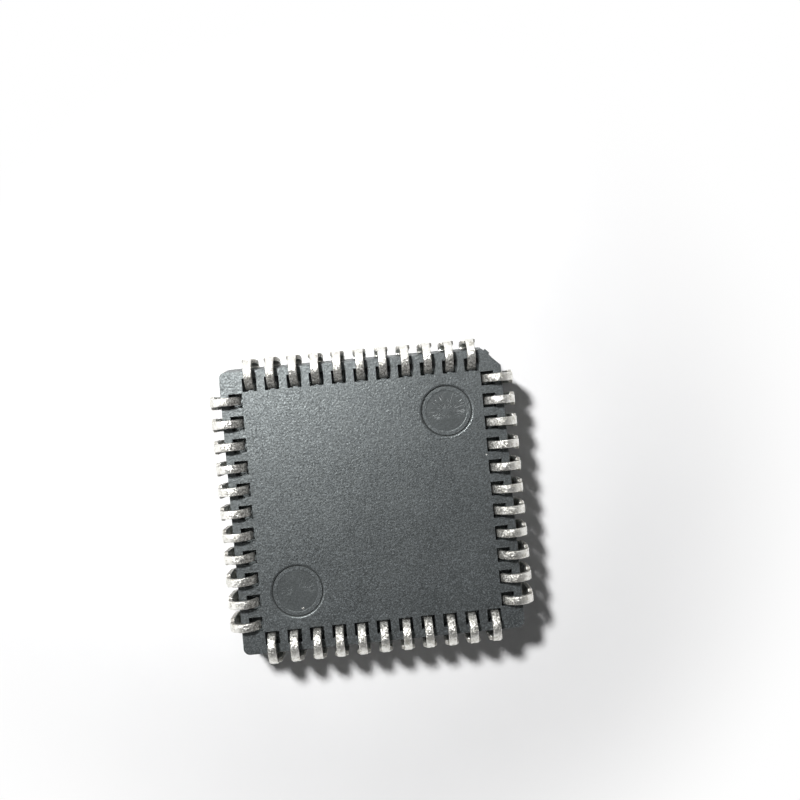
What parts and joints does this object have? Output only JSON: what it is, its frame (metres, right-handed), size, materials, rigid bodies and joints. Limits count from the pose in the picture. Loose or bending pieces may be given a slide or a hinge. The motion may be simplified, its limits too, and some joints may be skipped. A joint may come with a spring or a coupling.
{
  "type": "plcc chip",
  "caption": "Square plastic leaded chip carrier lying on its top, with J-leads curled into pockets along all four sides of its underside.",
  "frame": {"origin": "centre of the flat top face of the package, which it lies on", "axes": "+Z out of the underside, towards the plane that the lead ends stand on; +X and +Y along the sides, with the bevelled pin 1 corner between them and pin 1 in the middle of the +Y side"},
  "size_m": [0.0174, 0.0174, 0.0044],
  "materials": {
    "moulded_epoxy": "fine spark-eroded mould grain, charcoal",
    "tin_plate": "bright tin plate over copper alloy, scuffed and slightly tarnished",
    "lead_frame": "bare stamped copper alloy",
    "silver_adhesive": "cured silver-filled epoxy",
    "silicon": "polished silicon with a glassy coat",
    "gold_wire": "drawn gold wire"
  },
  "bodies": {
    "root": {"body": "moulded_epoxy", "lead_01": "tin_plate", "lead_02": "tin_plate", "lead_03": "tin_plate", "lead_04": "tin_plate", "lead_05": "tin_plate", "lead_06": "tin_plate", "lead_07": "tin_plate", "lead_08": "tin_plate", "lead_09": "tin_plate", "lead_10": "tin_plate", "lead_11": "tin_plate", "lead_12": "tin_plate", "lead_13": "tin_plate", "lead_14": "tin_plate", "lead_15": "tin_plate", "lead_16": "tin_plate", "lead_17": "tin_plate", "lead_18": "tin_plate", "lead_19": "tin_plate", "lead_20": "tin_plate", "lead_21": "tin_plate", "lead_22": "tin_plate", "lead_23": "tin_plate", "lead_24": "tin_plate", "lead_25": "tin_plate", "lead_26": "tin_plate", "lead_27": "tin_plate", "lead_28": "tin_plate", "lead_29": "tin_plate", "lead_30": "tin_plate", "lead_31": "tin_plate", "lead_32": "tin_plate", "lead_33": "tin_plate", "lead_34": "tin_plate", "lead_35": "tin_plate", "lead_36": "tin_plate", "lead_37": "tin_plate", "lead_38": "tin_plate", "lead_39": "tin_plate", "lead_40": "tin_plate", "lead_41": "tin_plate", "lead_42": "tin_plate", "lead_43": "tin_plate", "lead_44": "tin_plate", "die_paddle": "lead_frame", "die_attach": "silver_adhesive", "die": "silicon", "bond_wires": "gold_wire"}
  },
  "joints": []
}
